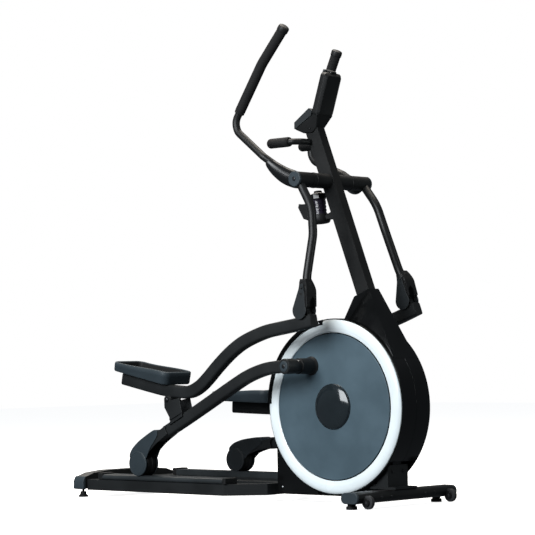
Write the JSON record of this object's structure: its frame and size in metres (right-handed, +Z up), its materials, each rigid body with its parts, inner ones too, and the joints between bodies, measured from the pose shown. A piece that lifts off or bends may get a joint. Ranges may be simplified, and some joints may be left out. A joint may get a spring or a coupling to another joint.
{
  "type": "elliptical trainer",
  "caption": "Front-drive elliptical trainer: swinging handles and pedal arms driven by a disc crank, rollers on a rear track, console on a leaning mast.",
  "frame": {"origin": "on the floor, at the middle of the outline of the machine", "axes": "+X the way the user faces, +Y the user's left, +Z up"},
  "size_m": [1.541, 0.566, 1.76],
  "materials": {
    "frame_paint": "satin charcoal powder coat",
    "arm_paint": "satin slate powder coat",
    "shell_black": "gloss black moulded shell",
    "ring_white": "gloss white ring",
    "disc_slate": "satin slate-blue disc",
    "hub_dark": "gloss dark cap",
    "foam": "black foam sleeve",
    "rubber_black": "black rubber",
    "steel": "turned steel",
    "cast": "machined cast iron",
    "plastic_dark": "matt black plastic",
    "plastic_slate": "satin slate plastic",
    "rail_grey": "satin grey rail",
    "screen": "dark display glass",
    "bottle_violet": "dark translucent bottle"
  },
  "bodies": {
    "frame": {"base_frame": "frame_paint", "track_rails": "rail_grey", "rail_stops": "rubber_black", "rear_stabilizer": "frame_paint", "front_stabilizer": "frame_paint", "stabilizer_caps": "plastic_slate", "front_feet": "rubber_black", "crank_post": "frame_paint", "crank_bearings": "steel", "brake_magnet": "cast", "flywheel_axle": "steel", "drive_belt": "rubber_black", "shroud_right": "shell_black", "shroud_left": "shell_black", "trim_rings": "ring_white", "mast_boot": "shell_black", "mast": "frame_paint", "pivot_shaft": "steel", "console_base": "plastic_dark", "console_body": "plastic_dark", "console_display": "screen", "fixed_handlebar": "frame_paint", "fixed_grips": "foam", "bottle_holder": "plastic_dark"},
    "crank": {"crank_axle": "steel", "drive_pulley": "cast", "disc_right": "disc_slate", "disc_left": "disc_slate", "crank_pins": "plastic_dark", "hub_caps": "hub_dark"},
    "flywheel": {"flywheel": "cast"},
    "idler": {"idler_pulley": "steel"},
    "right_carriage": {"roller_axle_right": "steel"},
    "right_roller": {"roller_right": "rubber_black"},
    "right_roller_arm": {"roller_arm_right": "arm_paint", "roller_cover_right": "plastic_slate"},
    "right_pedal_arm": {"pedal_arm_right": "arm_paint", "pedal_right": "plastic_slate"},
    "right_swing_arm": {"swing_arm_right": "frame_paint", "handle_grip_right": "foam", "clevis_covers_right": "plastic_slate"},
    "left_carriage": {"roller_axle_left": "steel"},
    "left_roller": {"roller_left": "rubber_black"},
    "left_roller_arm": {"roller_arm_left": "arm_paint", "roller_cover_left": "plastic_slate"},
    "left_pedal_arm": {"pedal_arm_left": "arm_paint", "pedal_left": "plastic_slate"},
    "left_swing_arm": {"swing_arm_left": "frame_paint", "handle_grip_left": "foam", "clevis_covers_left": "plastic_slate"},
    "rear_foot_right": {"rear_foot_right": "rubber_black"},
    "rear_foot_left": {"rear_foot_left": "rubber_black"},
    "transport_wheels": {"transport_wheels": "rubber_black"},
    "key_right": {"console_key_right": "plastic_slate"},
    "key_middle": {"console_key_middle": "plastic_slate"},
    "key_left": {"console_key_left": "plastic_slate"},
    "clamp": {"tablet_clamp": "plastic_dark"},
    "bottle": {"bottle": "bottle_violet", "bottle_cap": "plastic_dark"}
  },
  "joints": [
    {"name": "crank_turn", "type": "hinge", "parent": "frame", "child": "crank", "pos_m": [0.4485, 0, 0.3576], "axis": [0, 1, 0], "range_deg": [0, 180]},
    {"name": "flywheel_spin", "type": "hinge", "parent": "frame", "child": "flywheel", "pos_m": [0.2985, 0, 0.47], "axis": [0, 1, 0], "continuous": true},
    {"name": "idler_spin", "type": "hinge", "parent": "frame", "child": "idler", "pos_m": [0.41285, 0, 0.50539], "axis": [0, 1, 0], "continuous": true},
    {"name": "right_roller_travel", "type": "slide", "parent": "frame", "child": "right_carriage", "axis": [1, 0, 0], "range_m": [0, 0.1255]},
    {"name": "right_roller_spin", "type": "hinge", "parent": "right_carriage", "child": "right_roller", "pos_m": [-0.4235, -0.21, 0.138], "axis": [0, 1, 0], "continuous": true},
    {"name": "right_arm_tilt", "type": "hinge", "parent": "right_carriage", "child": "right_roller_arm", "pos_m": [-0.4235, -0.21, 0.138], "axis": [0, 1, 0], "range_deg": [0, 20.96]},
    {"name": "right_pedal_tilt", "type": "hinge", "parent": "right_roller_arm", "child": "right_pedal_arm", "pos_m": [-0.25754, -0.21, 0.38502], "axis": [0, 1, 0], "range_deg": [-30.61, 0]},
    {"name": "right_handle_swing", "type": "hinge", "parent": "frame", "child": "right_swing_arm", "pos_m": [0.3815, -0.1638, 1.19], "axis": [0, 1, 0], "range_deg": [-17.02, 0]},
    {"name": "left_roller_travel", "type": "slide", "parent": "frame", "child": "left_carriage", "axis": [1, 0, 0], "range_m": [-0.1255, 0]},
    {"name": "left_roller_spin", "type": "hinge", "parent": "left_carriage", "child": "left_roller", "pos_m": [-0.2985, 0.21, 0.138], "axis": [0, 1, 0], "continuous": true},
    {"name": "left_arm_tilt", "type": "hinge", "parent": "left_carriage", "child": "left_roller_arm", "pos_m": [-0.2985, 0.21, 0.138], "axis": [0, 1, 0], "range_deg": [-20.96, 0]},
    {"name": "left_pedal_tilt", "type": "hinge", "parent": "left_roller_arm", "child": "left_pedal_arm", "pos_m": [-0.05529, 0.21, 0.3095], "axis": [0, 1, 0], "range_deg": [0, 30.61]},
    {"name": "left_handle_swing", "type": "hinge", "parent": "frame", "child": "left_swing_arm", "pos_m": [0.3815, 0.1638, 1.19], "axis": [0, 1, 0], "range_deg": [0, 17.02]},
    {"name": "rear_foot_right_turn", "type": "hinge", "parent": "frame", "child": "rear_foot_right", "pos_m": [-0.7415, -0.235, 0.03], "axis": [0, 0, 1], "continuous": true},
    {"name": "rear_foot_left_turn", "type": "hinge", "parent": "frame", "child": "rear_foot_left", "pos_m": [-0.7415, 0.235, 0.03], "axis": [0, 0, 1], "continuous": true},
    {"name": "transport_wheel_spin", "type": "hinge", "parent": "frame", "child": "transport_wheels", "pos_m": [0.7345, 0, 0.027], "axis": [0, 1, 0], "continuous": true},
    {"name": "key_right_press", "type": "slide", "parent": "frame", "child": "key_right", "axis": [0.549, 0, -0.8358], "range_m": [0, 0.0025], "stiffness_N_per_m": 500, "springref_m": -0.0004},
    {"name": "key_middle_press", "type": "slide", "parent": "frame", "child": "key_middle", "axis": [0.549, 0, -0.8358], "range_m": [0, 0.0025], "stiffness_N_per_m": 500, "springref_m": -0.0004},
    {"name": "key_left_press", "type": "slide", "parent": "frame", "child": "key_left", "axis": [0.549, 0, -0.8358], "range_m": [0, 0.0025], "stiffness_N_per_m": 500, "springref_m": -0.0004},
    {"name": "clamp_lift", "type": "slide", "parent": "frame", "child": "clamp", "axis": [0.3256, 0, 0.9455], "range_m": [0, 0.02], "stiffness_N_per_m": 150, "springref_m": -0.01},
    {"name": "bottle_lift", "type": "slide", "parent": "frame", "child": "bottle", "axis": [-0.1045, 0, 0.9945], "range_m": [0, 0.04]}
  ],
  "couplings": [
    {"joint": "flywheel_spin", "follows": "crank_turn", "ratio": 6.5},
    {"joint": "idler_spin", "follows": "crank_turn", "ratio": -9.2857},
    {"joint": "right_roller_travel", "follows": "crank_turn", "m_per_rad": 0.039789},
    {"joint": "right_roller_spin", "follows": "crank_turn", "ratio": 0.87065},
    {"joint": "right_arm_tilt", "follows": "crank_turn", "ratio": 0.11619},
    {"joint": "right_pedal_tilt", "follows": "crank_turn", "ratio": -0.1698},
    {"joint": "right_handle_swing", "follows": "crank_turn", "ratio": -0.094249},
    {"joint": "left_roller_travel", "follows": "crank_turn", "m_per_rad": -0.039789},
    {"joint": "left_roller_spin", "follows": "crank_turn", "ratio": -0.87065},
    {"joint": "left_arm_tilt", "follows": "crank_turn", "ratio": -0.11619},
    {"joint": "left_pedal_tilt", "follows": "crank_turn", "ratio": 0.1698},
    {"joint": "left_handle_swing", "follows": "crank_turn", "ratio": 0.094249}
  ]
}
